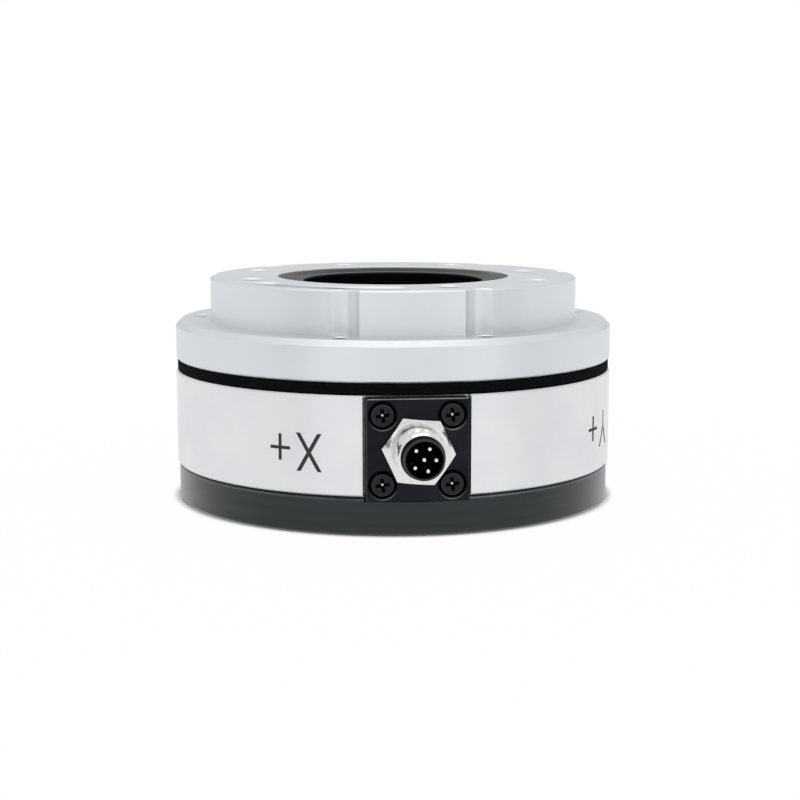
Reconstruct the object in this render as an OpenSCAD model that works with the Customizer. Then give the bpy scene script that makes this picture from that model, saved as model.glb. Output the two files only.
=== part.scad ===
// Six-axis force torque sensor for a robot wrist.
// A dark base plate bolts to the robot, a housing ring stands on it, and a load flange carries
// the tool. A machined flexure joins housing and flange, and strain gauges read its beams.
// Millimetres. +Z is up, the origin is the centre of the base plate's underside, and the
// signal connector faces -Y. Bearings are turned from -Y towards +X.

/* [Base plate] */
// Setback of the base plate's side from the housing's
base_setback = 0.3; // [0.1:0.05:1]
// Thickness of the base plate's rim
base_rim_t = 6; // [5.5:0.1:8]
// Chamfer round the base plate's foot
base_foot_edge = 0.3; // [0.2:0.1:1]
// Chamfer round the rim's upper edge
base_top_edge = 0.3; // [0.1:0.05:0.4]
// Height of the boss that centres the housing, over the rim
boss_h = 2.6; // [1.5:0.1:5]
// Width of the ledge that the sleeve's seal stands on, inside the robot's centring bore
robot_ledge = 1.25; // [1.2:0.05:2]
// Depth of the centring bore on the robot side
robot_bore_depth = 5; // [3:0.1:6]
// Diameter of the clearance holes for the robot's M6 screws
robot_hole_d = 6.6; // [6.2:0.1:7]
// Diameter of the counterbores for the robot's screw heads
robot_head_d = 11; // [10.5:0.1:12]
// Thickness of plate under the robot's screw heads
robot_head_seat = 3; // [2:0.1:5]
// Diameter of the dowel hole on the robot side
robot_pin_d = 6; // [4:0.5:8]
// Depth of the dowel hole
robot_pin_depth = 3.5; // [2:0.1:5]

/* [Housing ring] */
// Diameter of the housing ring and the load flange's shoulder
body_d = 75; // [74:0.5:84]
// Wall of the housing round the base plate's boss and the flexure
wall_t = 1.6; // [1.2:0.1:1.7]
// Chamfer on the housing ring's edges
housing_edge = 0.25; // [0.1:0.05:0.4]
// Thickness of the housing's floor
floor_t = 3; // [2.6:0.1:5]
// Radial thickness of the ledge that carries the flexure
ledge_w = 5.35; // [5:0.05:5.8]
// Height of the electronics chamber
chamber_h = 5.8; // [5.4:0.1:9]
// Thickness of the gasket between base plate and housing
base_gasket_t = 0.25; // [0.1:0.05:0.4]

/* [Seal band] */
// Width of the soft seal band across the rim
seal_w = 1.5; // [1:0.1:1.8]
// Height of the soft seal band
seal_h = 2; // [1:0.1:4]
// Setback of the seal band from the housing's outer face
seal_inset = 0.2; // [0.1:0.05:0.5]

/* [Load flange] */
// Height of the load flange's shoulder
shoulder_h = 6.5; // [5:0.1:9]
// Chamfer round the shoulder's upper edge
shoulder_edge = 0.95; // [0.3:0.05:1.4]
// Width of the shoulder round the collar
shoulder_w = 6; // [5:0.1:7]
// Height of the collar over the shoulder
collar_h = 7.25; // [5:0.05:12]
// Chamfer round the collar's rim
collar_edge = 0.3; // [0.2:0.05:0.6]
// Step from the hub's bore to the wide mouth of the central bore
mouth_step = 2.9; // [2:0.1:3.6]
// Chamfer round that mouth
mouth_edge = 0.1; // [0.1:0.05:0.4]
// Distance of the M6 bolt circle from the collar's side
bolt_inset = 6.5; // [6:0.1:7]
// Bearing of the first tool bolt
bolt_bearing = 15; // [10:1:20]
// Diameter of the tapped holes for the tool bolts
bolt_hole_d = 5; // [4.2:0.1:5.6]
// Diameter of the countersunk mouth of the tapped holes
bolt_mouth_d = 5.6; // [5.2:0.1:7]
// Depth of the tapped holes
bolt_depth = 10; // [6:0.5:12]
// Diameter of the holes that let a key reach the captive screws
key_hole_d = 4.4; // [3.8:0.1:4.6]
// Distance of the key holes outside the bolt circle
key_offset = 1.5; // [1.2:0.1:1.8]
// Chamfer round the key holes
key_hole_edge = 0.3; // [0.1:0.05:0.5]

/* [Arc recess] */
// Width of the arc recess beside the X mark
recess_w = 5.8; // [5:0.1:6]
// Width of the rim left outside the arc recess
recess_rim = 1.6; // [1.4:0.05:1.8]
// Angle that the arc recess spans
recess_span = 62; // [40:1:66]
// Depth of the arc recess
recess_depth = 0.8; // [0.5:0.1:3]
// Chamfer round the arc recess
recess_edge = 0.3; // [0.1:0.05:0.4]

/* [Overload stops] */
// Distance of the stop screws from the collar
stop_offset = 2.1; // [2.1:0.05:2.6]
// Angle between a pair's middle and each of its screws
stop_half_angle = 20; // [14:1:30]
// Diameter of the scallops that clear the key beside the collar
scallop_d = 6.6; // [5:0.1:6.7]
// Chamfer round the scallops' upper edge
scallop_edge = 0.25; // [0.1:0.05:0.4]
// Diameter of the stop screws
stop_d = 3; // [2.5:0.1:3.4]
// Depth of the stop screws' upper ends below the shoulder's face
stop_sink = 0.2; // [0:0.1:3]
// Gap under the stop screws at no load
stop_gap = 0.3; // [0.1:0.05:0.5]

/* [Bore sleeve] */
// Wall of the bore sleeve
sleeve_wall = 1.1; // [0.7:0.05:1.4]
// Thickness of the sleeve's upper collar
sleeve_collar_t = 3; // [1.5:0.1:5]
// Depth of the sleeve's collar below the tool face
sleeve_drop = 0.7; // [0.3:0.05:2]
// Gap round the sleeve and under its lower end
sleeve_gap = 0.2; // [0.1:0.05:0.3]
// Radial width of the soft ring round the sleeve's lower end
sleeve_seal_w = 1; // [0.6:0.1:1.4]

/* [Flexure] */
// Thickness of the flexure
flexure_t = 4.7; // [4.4:0.1:8]
// Setback of the flexure's inner ring inside the bolt circle
hub_inset = 2.4; // [2.3:0.1:2.8]
// Radial width of the flexure's inner ring
hub_w = 5.6; // [5.2:0.1:6]
// Thickness of the leaf springs
leaf_t = 1; // [0.6:0.05:1.4]
// Width of the slots behind the leaf springs
slot_w = 0.8; // [0.5:0.05:1]
// Angle that each slot spans
slot_span = 30; // [24:1:36]
// Width of each beam
beam_w = 5; // [4:0.1:7]
// Thickness of each beam
beam_t = 3.4; // [2.4:0.1:4]
// Relief under the leaf springs
leaf_relief = 0.4; // [0.2:0.1:0.6]
// Length of a strain gauge along its beam
gauge_len = 2.4; // [1.6:0.1:2.6]
// Width of a strain gauge
gauge_w = 3; // [2:0.1:3.8]
// Thickness of a strain gauge
gauge_t = 0.1; // [0.05:0.01:0.15]

/* [Fasteners] */
// Diameter of the captive screws that hold the sensor to its base plate
captive_d = 4; // [3:0.1:4.4]
// Height of the captive screws' heads
captive_head_h = 4; // [3:0.1:5]
// Diameter of the captive screws' heads
captive_head_d = 7; // [6:0.1:8.4]
// Length of the captive screws under the head
captive_len = 7; // [6:0.1:7.4]
// Diameter of the screws at the flexure's two rings
ring_screw_d = 2.5; // [2:0.1:2.8]
// Diameter of those screws' heads
ring_head_d = 4.4; // [3.6:0.1:4.6]
// Height of those screws' heads
ring_head_h = 2.5; // [1.6:0.1:2.6]
// Reach of the inner ring's screws into the load flange
hub_screw_reach = 5; // [3:0.1:8]
// Angle between the two outer ring screws beside each key hole
outer_screw_spread = 14; // [10:1:20]
// Diameter of the locating pins between base plate and housing
locating_d = 3; // [2:0.1:3.4]
// Length of the locating pins
locating_len = 7; // [5:0.1:8]
// Depth of the locating pins in the base plate
locating_depth = 3.5; // [2.5:0.1:5]
// Diameter of the connector plate's screws
plate_screw_d = 2; // [1.6:0.1:2.3]
// Length of those screws under the head
plate_screw_len = 3.5; // [3:0.1:4]
// Diameter of those screws' heads
plate_head_d = 3.6; // [3:0.1:3.7]
// Height of those screws' heads
plate_head_h = 1.3; // [1:0.1:1.4]

/* [Electronics] */
// Thickness of the circuit board
board_t = 1.6; // [1:0.1:2]
// Height of the board's standoffs
standoff_h = 1.5; // [1:0.1:2]
// Diameter of the standoffs
standoff_d = 4.2; // [3.6:0.1:5]
// Diameter of the board's screws
board_screw_d = 2; // [1.6:0.1:2.4]
// Side of the signal chips
chip_side = 5; // [3:0.1:5.6]
// Height of the signal chips
chip_h = 1.2; // [0.6:0.1:2]
// Thickness of the contact board
contact_board_t = 1; // [0.6:0.1:1.6]

/* [Connector plate] */
// Width of the connector plate
plate_w = 16.1; // [15.4:0.1:18]
// Thickness of the connector plate
plate_t = 2.6; // [2:0.1:3]
// How far the plate's front stands out from the housing's side
plate_proud = 0.1; // [0:0.05:0.8]
// Gap between the plate and the seal band
plate_drop = 0.35; // [0.1:0.05:1]
// Gap beside the plate in the housing's window
plate_gap = 0.25; // [0.1:0.05:0.5]
// How far the plate's foot drops into the base plate's rim
plate_bite = 0.45; // [0.1:0.05:1]
// Chamfer round the plate's front
plate_edge = 0.15; // [0.1:0.05:0.3]
// Spacing of the plate's screws both ways
plate_screw_pitch = 10.9; // [10.6:0.1:11.2]
// Thickness of the gasket behind the plate
plate_gasket_t = 0.3; // [0.1:0.05:0.5]
// Diameter of the counterbores for the plate's screws
plate_bore_d = 4.4; // [3.9:0.1:4.5]
// Depth of those counterbores
plate_bore_depth = 1.4; // [1.1:0.1:1.7]

/* [Signal connector] */
// Width across the flats of the connector's hexagon
hex_af = 10; // [9.6:0.1:11]
// Thickness of the hexagon
hex_t = 2; // [1.6:0.1:3]
// Turn of the hexagon, clockwise as seen from outside
hex_turn = 5; // [0:1:30]
// Outer diameter of the connector's thread
thread_d = 8; // [7.8:0.1:8.4]
// Diameter of the connector's stub through the plate
stub_d = 7.4; // [7:0.1:7.6]
// Length of the threaded barrel in front of the hexagon
barrel_len = 4.9; // [3:0.1:8]
// Length of the insert's nose in front of the barrel
nose_len = 1.9; // [0.6:0.1:3]
// Diameter of the socket's cavity
cavity_d = 5.75; // [5.2:0.05:5.9]
// Depth of the socket's cavity
cavity_depth = 4.6; // [3:0.1:6]
// Diameter of a contact pin
pin_d = 0.76; // [0.6:0.02:0.9]
// Radius of the ring of contact pins
pin_ring_r = 1.86; // [1.7:0.02:2]
// Depth of the pins' tips inside the nose
pin_drop = 0.2; // [0:0.1:1.5]
// Section of the seal under the hexagon
seal_wire = 0.7; // [0.5:0.05:0.8]

/* [Hidden] */
$fn = 96;

// Counts
bolt_count = 4;                              // the standard flange's bolts, and as many key holes
beam_count = 4;
stop_pairs = 3;
hub_screw_count = 8;

// Screws
head_edge = 0.3;                             // chamfer round a socket head
ring_key = 2;                                // key of the screws at the flexure's rings
board_head_d = 3.4;
board_head_h = 1.4;
board_key = 1.3;
plate_head_edge = 0.25;                      // rounding of the plate screws' heads
cross_turn = 8;                              // turn of the cross recesses
cross_w = 0.55;                              // width, length and depth of the cross recesses
cross_len = 2.15;
cross_depth = 0.65;

// Clearances
slack = 0.05;                                // side clearance of a screw in its tapped hole
fit = 0.15;                                  // side clearance of a part in its pocket
contact_slack = 0.02;                        // side clearance of a contact pin
tip_room = 0.3;                              // room past a screw's tip
board_setback = 1;                           // from the chamber's wall to the board
board_inset = 0.5;                           // from the bolt circle to the board's screws
leaf_clear = 0.2;                            // from the chamber's wall to the leaf springs
cover = 1;                                   // metal left over a blind hole
over = 1;                                    // how far a cutter runs past the face it opens

// Heights
boss_top = base_rim_t + boss_h;
seam_z = base_rim_t + base_gasket_t;
floor_top = boss_top + floor_t;
seat_z = floor_top + chamber_h;              // the flexure's seat
housing_top = seat_z + flexure_t;
shoulder_z = housing_top + seal_h;
collar_z = shoulder_z + shoulder_h;
top_z = collar_z + collar_h;
board_z = floor_top + standoff_h;
board_top = board_z + board_t;
beam_z = seat_z + (flexure_t - beam_t) / 2;
beam_top = beam_z + beam_t;
sleeve_seat_z = top_z - sleeve_drop - sleeve_collar_t;
sleeve_bottom = robot_bore_depth + sleeve_gap;
seal_pocket_z = robot_bore_depth + cover;
hub_screw_top = housing_top + hub_screw_reach;
outer_screw_top = housing_top - cover;
captive_tip = floor_top - captive_len;
stop_z = housing_top + stop_gap;
stop_len = collar_z - stop_sink - stop_z;
stop_socket = 2;                             // depth of the stop screws' sockets
locating_bottom = boss_top - locating_depth;
locating_top = locating_bottom + locating_len;
board_screw_tip = boss_top + cover;

// Radii and widths
base_d = body_d - 2 * base_setback;
collar_d = body_d - 2 * shoulder_w;
inner_d = body_d - 2 * (wall_t + fit);       // the base plate's boss and the flexure
chamber_r = body_d / 2 - wall_t - ledge_w - fit;
bolt_r = collar_d / 2 - bolt_inset;
hub_r = bolt_r - hub_inset;                  // the flexure's inner ring
sleeve_pocket_r = hub_r - hub_w;
hub_bore_r = sleeve_pocket_r - sleeve_gap;
sleeve_r = hub_bore_r - sleeve_gap;
mouth_r = sleeve_pocket_r + mouth_step;
seal_pocket_r = sleeve_pocket_r + sleeve_seal_w;
robot_bore_r = sleeve_pocket_r - robot_ledge;
leaf_r = chamber_r - leaf_t - leaf_clear;    // inner face of the leaf springs
key_r = bolt_r + key_offset;                 // the keys pass through the flexure's windows
slot_in_r = leaf_r + leaf_t;
slot_out_r = slot_in_r + slot_w;
hub_screw_r = (sleeve_pocket_r + hub_r) / 2;
outer_screw_r = (chamber_r + inner_d / 2) / 2;
ring_bore_d = ring_head_d + 2 * slack;
ring_bore_depth = ring_head_h + slack;
recess_r = collar_d / 2 - recess_rim - recess_w / 2;
stop_r = collar_d / 2 + stop_offset;
board_screw_r = bolt_r - board_inset;
gauge_gap = 0.4;                             // between a beam's two gauges
gauge_r = hub_r + 2 * gauge_gap;             // inner end of the first gauge
gauge_end_r = gauge_r + 2 * gauge_len + gauge_gap;

// Bearings
quarter = 360 / bolt_count;
key_bearing = bolt_bearing - quarter / 2;    // the X mark's bearing
chip_bearing = bolt_bearing + quarter / 4;
outer_screws = [for (i = [0:bolt_count - 1], s = [-1, 1])
    key_bearing + i * quarter + s * outer_screw_spread / 2];
stops = [for (i = [0:stop_pairs - 1], s = [-1, 1])
    i * 360 / stop_pairs + s * stop_half_angle];
locating_pins = [80, 260];

// The connector plate, measured along the connector from the sensor's axis
plate_top = housing_top - plate_drop;
plate_bottom = base_rim_t - plate_bite;
plate_h = plate_top - plate_bottom;
window_half = plate_w / 2 + plate_gap;
connector_z = (plate_top + plate_bottom) / 2;
plate_front = body_d / 2 + plate_proud;
plate_back = plate_front - plate_t;
pocket_y = plate_back - plate_gasket_t;
plate_corner = 0.5;                          // rounding of the plate's corners
plate_bore_edge = 0.2;                       // chamfer round the counterbores
plate_seat_y = plate_front - plate_bore_depth;
plate_screw_tip = plate_seat_y - plate_screw_len;
block_y = plate_screw_tip - tip_room;        // inner face of the block behind the plate
block_clear = 0.2;                           // between the block and what stands before it

// The connector along its own axis
hex_front = plate_front + hex_t;
barrel_front = hex_front + barrel_len;
nose_front = barrel_front + nose_len;
hex_edge = 0.3;                              // ring left inside the hexagon's front chamfer
thread_pitch = 1;
thread_lead = 0.55;                          // chamfer at the thread's end
shell_bore_d = 6.4;
stub_reach = 1.2;                            // of the stub behind the plate
contact_inset = 2.8;                         // from the chamber's wall to the contact board
stub_end = plate_back - stub_reach;
seal_ring_r = stub_d / 2 + slack + seal_wire / 2;
contact_board_d = 6.6;
contact_board_y = chamber_r - contact_inset;
tail_len = 0.4;                              // contact pins behind the contact board
pin_tail_y = contact_board_y - tail_len;
pin_angles = [131, 63, -3, -71, -138];       // seen from outside, from the right, turning left
key_angle = 176;                             // the socket's coding rib
rib_w = 0.9;
nose_taper = 0.3;

// ---- placing ----

// Sets its children at a bearing and a radius from the sensor's axis.
module at(bearing, r) rotate([0, 0, bearing]) translate([0, -r, 0]) children();

// Repeats its children once for each bolt, from the bearing of the first one.
module around(first, r, count = bolt_count)
    for (i = [0:count - 1]) at(first + i * 360 / count, r) children();

// Lays a part that was drawn along +Z on the connector's axis, pointing outwards.
module outwards() translate([0, 0, connector_z]) rotate([90, 0, 0]) children();

module at_plate_screws()
    for (x = [-1, 1], y = [-1, 1])
        translate([x, y, 0] * plate_screw_pitch / 2) children();

module at_contacts() {
    children();
    for (a = pin_angles) rotate([0, 0, a]) translate([pin_ring_r, 0, 0]) children();
}

module at_outer_screws() for (b = outer_screws) at(b, outer_screw_r) children();

module at_locating_pins() for (b = locating_pins) at(b, outer_screw_r) children();

module at_stops()
    for (b = stops) translate(stop_r * [sin(b), -cos(b), 0]) children();

// Everything on the connector's side of a plane that stands y in front of the axis.
module beyond(y, z0, z1)
    translate([-body_d, -2 * body_d, z0]) cube([2 * body_d, 2 * body_d - y, z1 - z0]);

// ---- shapes ----

module hole(d, z0, z1) translate([0, 0, z0]) cylinder(d = d, h = z1 - z0);

module tube(d_out, d_in, h) difference() {
    cylinder(d = d_out, h = h);
    hole(d_in, -over, h + over);
}

// A chamfer that opens a hole of diameter d at the height z.
module mouth(d, edge, z)
    translate([0, 0, z - edge]) cylinder(d1 = d, d2 = d + 4 * edge, h = 2 * edge);

// A slot along an arc with round ends, between two heights.
module arc_slot(r, w, span, z0, z1) {
    end = (span / 2) - asin(w / 2 / r);
    translate([0, 0, z0]) rotate([0, 0, -90 - end])
        rotate_extrude(angle = 2 * end) translate([r - w / 2, 0]) square([w, z1 - z0]);
    for (s = [-1, 1]) at(s * end, r) hole(w, z0, z1);
}

// The chamfer round an arc slot's upper edge.
module arc_mouth(r, w, span, edge, z) {
    end = (span / 2) - asin(w / 2 / r);
    half = w / 2;
    rotate([0, 0, -90 - end]) rotate_extrude(angle = 2 * end)
        polygon([[r - half, z - edge], [r + half, z - edge],
                 [r + half + 2 * edge, z + edge], [r - half - 2 * edge, z + edge]]);
    for (s = [-1, 1]) at(s * end, r) mouth(w, edge, z);
}

module rounded_rect(w, h, r) {
    square([w - 2 * r, h], center = true);
    square([w, h - 2 * r], center = true);
    for (x = [-1, 1], y = [-1, 1]) translate([x * (w / 2 - r), y * (h / 2 - r)]) circle(r);
}

// A socket head screw that hangs head up from z = 0, with its hexagon socket.
module socket_screw(d, len, head_d, head_h, key) difference() {
    rotate_extrude() polygon([[0, -len], [d / 2, -len], [d / 2, 0], [head_d / 2, 0],
                              [head_d / 2, head_h - head_edge],
                              [head_d / 2 - head_edge, head_h], [0, head_h]]);
    translate([0, 0, head_h / 2]) cylinder(d = key / cos(30), h = head_h, $fn = 6);
}

// ---- base plate and housing ----

module base_plate() {
    rim_r = base_d / 2;
    color([0.18, 0.20, 0.21]) difference() {
        rotate_extrude() polygon([
            [robot_bore_r, 0], [rim_r - base_foot_edge, 0], [rim_r, base_foot_edge],
            [rim_r, base_rim_t - base_top_edge], [rim_r - base_top_edge, base_rim_t],
            [inner_d / 2, base_rim_t], [inner_d / 2, boss_top],
            [seal_pocket_r, boss_top], [seal_pocket_r, seal_pocket_z],
            [sleeve_pocket_r, seal_pocket_z], [sleeve_pocket_r, robot_bore_depth],
            [robot_bore_r, robot_bore_depth]]);
        around(bolt_bearing, bolt_r) {
            hole(robot_hole_d, -over, boss_top);
            hole(robot_head_d, robot_head_seat, boss_top + over);
        }
        around(key_bearing, key_r)
            hole(captive_d + 2 * slack, captive_tip - tip_room, boss_top + over);
        at(key_bearing, bolt_r) hole(robot_pin_d, -over, robot_pin_depth);
        at_locating_pins()
            hole(locating_d + 2 * slack, locating_bottom - slack, boss_top + over);
        beyond(block_y - block_clear, base_rim_t, boss_top + over);
        // the connector plate's lower edge drops into the rim
        outwards() translate([0, 0, pocket_y - fit])
            linear_extrude(body_d) square([2 * window_half, plate_h + 2 * fit], center = true);
    }
}

module base_gasket() color([0.05, 0.05, 0.06])
    translate([0, 0, base_rim_t]) difference() {
        tube(base_d - 4 * base_top_edge, inner_d + 2 * fit, base_gasket_t);
        translate([-window_half, -body_d, -over])
            cube([2 * window_half, body_d, base_gasket_t + 2 * over]);
    }

module locating_pins() color("silver") at_locating_pins()
    hole(locating_d, locating_bottom, locating_top);

module housing_ring() {
    wall_r = body_d / 2;
    color([0.86, 0.87, 0.88]) difference() {
        rotate_extrude() polygon([
            [0, seam_z], [wall_r - housing_edge, seam_z], [wall_r, seam_z + housing_edge],
            [wall_r, housing_top - housing_edge], [wall_r - housing_edge, housing_top],
            [0, housing_top]]);
        difference() {                       // lower pocket over the base plate's boss
            hole(inner_d + 2 * fit, seam_z - over, boss_top);
            beyond(block_y, seam_z - over, boss_top);
        }
        difference() {                       // upper pocket round the flexure
            hole(inner_d + 2 * fit, seat_z, housing_top + over);
            beyond(block_y, seat_z, housing_top + over);
        }
        hole(2 * sleeve_pocket_r, boss_top - over, floor_top + over);
        hole(2 * chamber_r, floor_top, seat_z + over);
        around(key_bearing, key_r)
            hole(captive_d + 4 * fit, boss_top - over, floor_top + over);
        at_outer_screws() {
            hole(ring_screw_d + 2 * slack, boss_top - over, seat_z + over);
            hole(ring_bore_d, boss_top - over, boss_top + ring_bore_depth);
        }
        at_locating_pins()
            hole(locating_d + 2 * slack, boss_top - over, locating_top + slack);
        around(bolt_bearing, board_screw_r)
            hole(board_screw_d + 2 * slack, board_screw_tip, floor_top + over);
        connector_window();
    }
}

// The flat-sided window for the connector plate, with the passage and the screw holes behind.
module connector_window() {
    outwards() {
        translate([0, 0, pocket_y]) linear_extrude(body_d)
            square([2 * window_half, 4 * plate_h], center = true);
        hole(contact_board_d + 2 * fit, pin_tail_y - fit, pocket_y + over);
        hole(stub_d + 2 * fit, stub_end - fit, pocket_y + over);
        at_plate_screws()
            hole(plate_screw_d + 2 * slack, plate_screw_tip - fit, pocket_y + over);
    }
    corner_y = sqrt(pow(body_d / 2, 2) - pow(window_half, 2));
    for (s = [-1, 1])                        // the chamfers down the window's sides
        translate([s * window_half, -corner_y, base_rim_t]) linear_extrude(housing_top)
            polygon(housing_edge * [[1, 0], [0, 1], [-1, 0], [0, -1]]);
}

module captive_screws() color([0.6, 0.6, 0.62])
    around(key_bearing, key_r) translate([0, 0, floor_top])
        socket_screw(captive_d, captive_len, captive_head_d, captive_head_h, 0.75 * captive_d);

// ---- flexure and gauges ----

module flexure() color([0.80, 0.82, 0.84]) difference() {
    hole(inner_d, seat_z, housing_top);
    hole(2 * sleeve_pocket_r, seat_z - over, housing_top + over);
    difference() {                           // windows between the beams
        hole(2 * leaf_r, seat_z - over, housing_top + over);
        hole(2 * hub_r, seat_z - over, housing_top + over);
        around(bolt_bearing, 0, beam_count) translate([-beam_w / 2, -slot_in_r, beam_z])
            cube([beam_w, slot_in_r, beam_t]);
    }
    for (i = [0:beam_count - 1]) rotate([0, 0, bolt_bearing + i * 360 / beam_count])
        arc_slot(slot_in_r + slot_w / 2, slot_w, slot_span, seat_z - over, housing_top + over);
    difference() {                           // the leaf springs stand clear of their seat
        hole(2 * (slot_out_r + slot_w), seat_z - over, seat_z + leaf_relief);
        hole(2 * hub_r, seat_z - over, seat_z + leaf_relief);
    }
    beyond(block_y - block_clear, seat_z - over, housing_top + over);
    around(bolt_bearing, hub_screw_r, hub_screw_count) {
        hole(ring_screw_d + 2 * slack, seat_z - over, housing_top + over);
        hole(ring_bore_d, seat_z - over, seat_z + ring_bore_depth);
    }
    at_outer_screws()
        hole(ring_screw_d + 2 * slack, seat_z - over, outer_screw_top + tip_room);
}

module flexure_screws() color([0.25, 0.25, 0.27]) at_outer_screws()
    translate([0, 0, boss_top + ring_bore_depth]) mirror([0, 0, 1])
        socket_screw(ring_screw_d, outer_screw_top - boss_top - ring_bore_depth,
                     ring_head_d, ring_head_h, ring_key);

// Two gauges on each face of each beam.
module strain_gauges() color([0.78, 0.52, 0.20])
    for (z = [beam_z - gauge_t, beam_top], r = [gauge_r, gauge_r + gauge_len + gauge_gap])
        around(bolt_bearing, r, beam_count)
            translate([-gauge_w / 2, -gauge_len, z]) cube([gauge_w, gauge_len, gauge_t]);

// Flat leads from the lower outer gauges down to the board.
module gauge_leads() color([0.80, 0.45, 0.15])
    around(bolt_bearing, gauge_end_r - gauge_gap, beam_count)
        translate([-gauge_w / 3, -gauge_t, board_top])
            cube([gauge_w * 2 / 3, gauge_t, beam_z - gauge_t - board_top]);

// ---- electronics ----

module circuit_board() color([0.05, 0.35, 0.20]) difference() {
    hole(2 * (chamber_r - board_setback), board_z, board_top);
    hole(2 * (sleeve_pocket_r + board_setback), board_z - over, board_top + over);
    around(key_bearing, key_r)
        hole(captive_head_d + board_setback, board_z - over, board_top + over);
    around(bolt_bearing, board_screw_r)
        hole(board_screw_d + 2 * slack, board_z - over, board_top + over);
    beyond(contact_board_y, board_z - over, board_top + over);
    // a notch for the ends of the contact pins
    translate([-pin_ring_r - pin_d, -contact_board_y - over, board_z - over])
        cube([2 * (pin_ring_r + pin_d), over + tail_len + fit, board_t + 2 * over]);
}

module signal_chips() color([0.08, 0.08, 0.09]) {
    around(chip_bearing, board_screw_r) translate([0, 0, board_top + chip_h / 2])
        cube([chip_side, chip_side, chip_h], center = true);
    around(chip_bearing - quarter / 2, board_screw_r) translate([0, 0, board_top + chip_h / 2])
        cube([chip_side / 2, chip_side / 2, chip_h], center = true);
}

module board_standoffs() color("gold")
    around(bolt_bearing, board_screw_r) translate([0, 0, floor_top])
        tube(standoff_d, board_screw_d + 2 * slack, standoff_h);

module board_screws() color("silver")
    around(bolt_bearing, board_screw_r) translate([0, 0, board_top])
        socket_screw(board_screw_d, board_top - board_screw_tip - tip_room,
                     board_head_d, board_head_h, board_key);

module contact_board() color([0.05, 0.35, 0.20]) outwards() difference() {
    hole(contact_board_d, contact_board_y, contact_board_y + contact_board_t);
    at_contacts() hole(pin_d + 2 * contact_slack, contact_board_y - over, stub_end);
}

// ---- load flange ----

module load_flange() {
    shoulder_r = body_d / 2;
    collar_r = collar_d / 2;
    color([0.84, 0.85, 0.87]) difference() {
        rotate_extrude() polygon([
            [hub_bore_r, housing_top], [hub_r - fit, housing_top], [hub_r - fit, shoulder_z],
            [shoulder_r - housing_edge, shoulder_z], [shoulder_r, shoulder_z + housing_edge],
            [shoulder_r, collar_z - shoulder_edge], [shoulder_r - shoulder_edge, collar_z],
            [collar_r, collar_z], [collar_r, top_z - collar_edge],
            [collar_r - collar_edge, top_z],
            [mouth_r + mouth_edge, top_z], [mouth_r, top_z - mouth_edge],
            [mouth_r, sleeve_seat_z], [hub_bore_r, sleeve_seat_z]]);
        around(bolt_bearing, bolt_r) {
            hole(bolt_hole_d, top_z - bolt_depth, top_z + over);
            mouth(bolt_hole_d, (bolt_mouth_d - bolt_hole_d) / 2, top_z);
        }
        around(key_bearing, key_r) hole(key_hole_d, housing_top, top_z + over);
        for (i = [1:bolt_count - 1])         // the first key hole opens into the arc recess
            at(key_bearing + i * quarter, key_r) mouth(key_hole_d, key_hole_edge, top_z);
        rotate([0, 0, key_bearing]) {
            arc_slot(recess_r, recess_w, recess_span, top_z - recess_depth, top_z + over);
            arc_mouth(recess_r, recess_w, recess_span, recess_edge, top_z);
        }
        at_stops() {
            hole(scallop_d, collar_z, top_z + over);
            mouth(scallop_d, scallop_edge, top_z);
            hole(stop_d + 2 * slack, housing_top, collar_z + over);
            mouth(stop_d + 2 * slack, housing_edge, collar_z);
        }
        around(bolt_bearing, hub_screw_r, hub_screw_count)
            hole(ring_screw_d + 2 * slack, housing_top - over, hub_screw_top + tip_room);
    }
}

module flange_screws() color([0.25, 0.25, 0.27])
    around(bolt_bearing, hub_screw_r, hub_screw_count)
        translate([0, 0, seat_z + ring_bore_depth]) mirror([0, 0, 1])
            socket_screw(ring_screw_d, hub_screw_top - seat_z - ring_bore_depth,
                         ring_head_d, ring_head_h, ring_key);

module stop_screws() color([0.12, 0.12, 0.13]) at_stops()
    translate([0, 0, stop_z]) difference() {
        cylinder(d = stop_d, h = stop_len);
        translate([0, 0, stop_len - stop_socket])
            cylinder(d = stop_d / 2 / cos(30), h = stop_len, $fn = 6);
    }

module seal_band() {
    outer = body_d - 2 * seal_inset;
    color([0.06, 0.07, 0.08]) translate([0, 0, housing_top])
        tube(outer, outer - 2 * seal_w, seal_h);
}

module bore_sleeve() {
    inner = sleeve_r - sleeve_wall;
    collar = mouth_r - fit;
    collar_top = top_z - sleeve_drop;
    edge = fit;
    color([0.05, 0.05, 0.06]) rotate_extrude() polygon([
        [inner, sleeve_bottom], [sleeve_r, sleeve_bottom], [sleeve_r, sleeve_seat_z],
        [collar, sleeve_seat_z], [collar, collar_top - edge], [collar - edge, collar_top],
        [inner + edge, collar_top], [inner, collar_top - edge]]);
}

module sleeve_seal() color([0.10, 0.10, 0.11]) translate([0, 0, seal_pocket_z])
    tube(2 * (seal_pocket_r - slack), 2 * (sleeve_r + slack), boss_top - seal_pocket_z);

// ---- connector ----

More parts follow.
